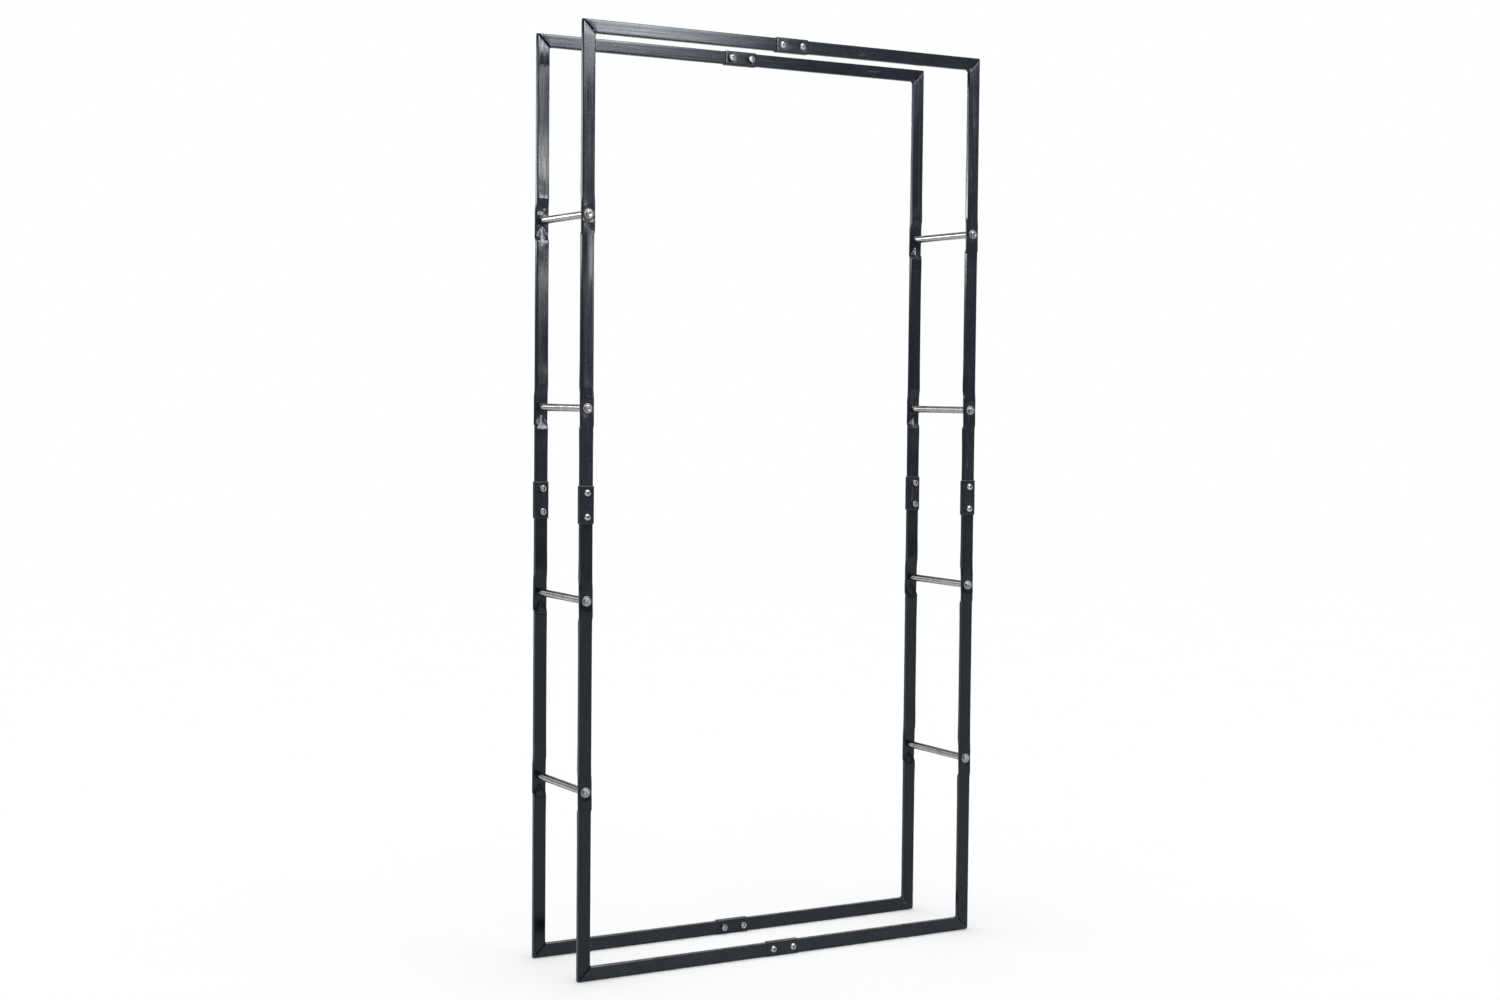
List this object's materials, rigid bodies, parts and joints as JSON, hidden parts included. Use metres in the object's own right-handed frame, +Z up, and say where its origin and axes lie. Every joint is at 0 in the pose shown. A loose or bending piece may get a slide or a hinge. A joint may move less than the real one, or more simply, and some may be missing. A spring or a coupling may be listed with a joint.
{
  "type": "firewood log rack",
  "caption": "Tall, narrow open rack for stacking firewood: black rectangular tube frames, front and back, tied together at both sides by round plated crossbars.",
  "frame": {"origin": "on the floor, under the middle of the rack", "axes": "+X along the width to the right, +Y from the front frame to the back frame, +Z up"},
  "size_m": [1, 0.25, 2],
  "materials": {
    "frame_tube": "semi-gloss black powder coat",
    "sleeve": "semi-gloss black powder coat",
    "weld_bead": "semi-gloss black powder coat over a rippled bead",
    "crossbar": "bright zinc plate",
    "crossbar_bolt": "dull zinc plate",
    "sleeve_bolt": "dull zinc plate",
    "washer": "dull zinc plate",
    "nut": "dull zinc plate",
    "insert": "plain turned steel"
  },
  "bodies": {
    "root": {"back_bottom_left_rail": "frame_tube", "back_bottom_left_weld": "weld_bead", "back_bottom_right_rail": "frame_tube", "back_bottom_right_weld": "weld_bead", "back_bottom_sleeve": "sleeve", "back_crossbar_bolts": "crossbar_bolt", "back_crossbar_washers": "washer", "back_left_lower_upright": "frame_tube", "back_left_sleeve": "sleeve", "back_left_upper_upright": "frame_tube", "back_right_lower_upright": "frame_tube", "back_right_sleeve": "sleeve", "back_right_upper_upright": "frame_tube", "back_sleeve_bolts": "sleeve_bolt", "back_sleeve_nuts": "nut", "back_top_left_rail": "frame_tube", "back_top_left_weld": "weld_bead", "back_top_right_rail": "frame_tube", "back_top_right_weld": "weld_bead", "back_top_sleeve": "sleeve", "front_bottom_left_rail": "frame_tube", "front_bottom_left_weld": "weld_bead", "front_bottom_right_rail": "frame_tube", "front_bottom_right_weld": "weld_bead", "front_bottom_sleeve": "sleeve", "front_crossbar_bolts": "crossbar_bolt", "front_crossbar_washers": "washer", "front_left_lower_upright": "frame_tube", "front_left_sleeve": "sleeve", "front_left_upper_upright": "frame_tube", "front_right_lower_upright": "frame_tube", "front_right_sleeve": "sleeve", "front_right_upper_upright": "frame_tube", "front_sleeve_bolts": "sleeve_bolt", "front_sleeve_nuts": "nut", "front_top_left_rail": "frame_tube", "front_top_left_weld": "weld_bead", "front_top_right_rail": "frame_tube", "front_top_right_weld": "weld_bead", "front_top_sleeve": "sleeve", "left_crossbar_1": "crossbar", "left_crossbar_2": "crossbar", "left_crossbar_3": "crossbar", "left_crossbar_4": "crossbar", "left_crossbar_inserts": "insert", "right_crossbar_1": "crossbar", "right_crossbar_2": "crossbar", "right_crossbar_3": "crossbar", "right_crossbar_4": "crossbar", "right_crossbar_inserts": "insert"}
  },
  "joints": []
}
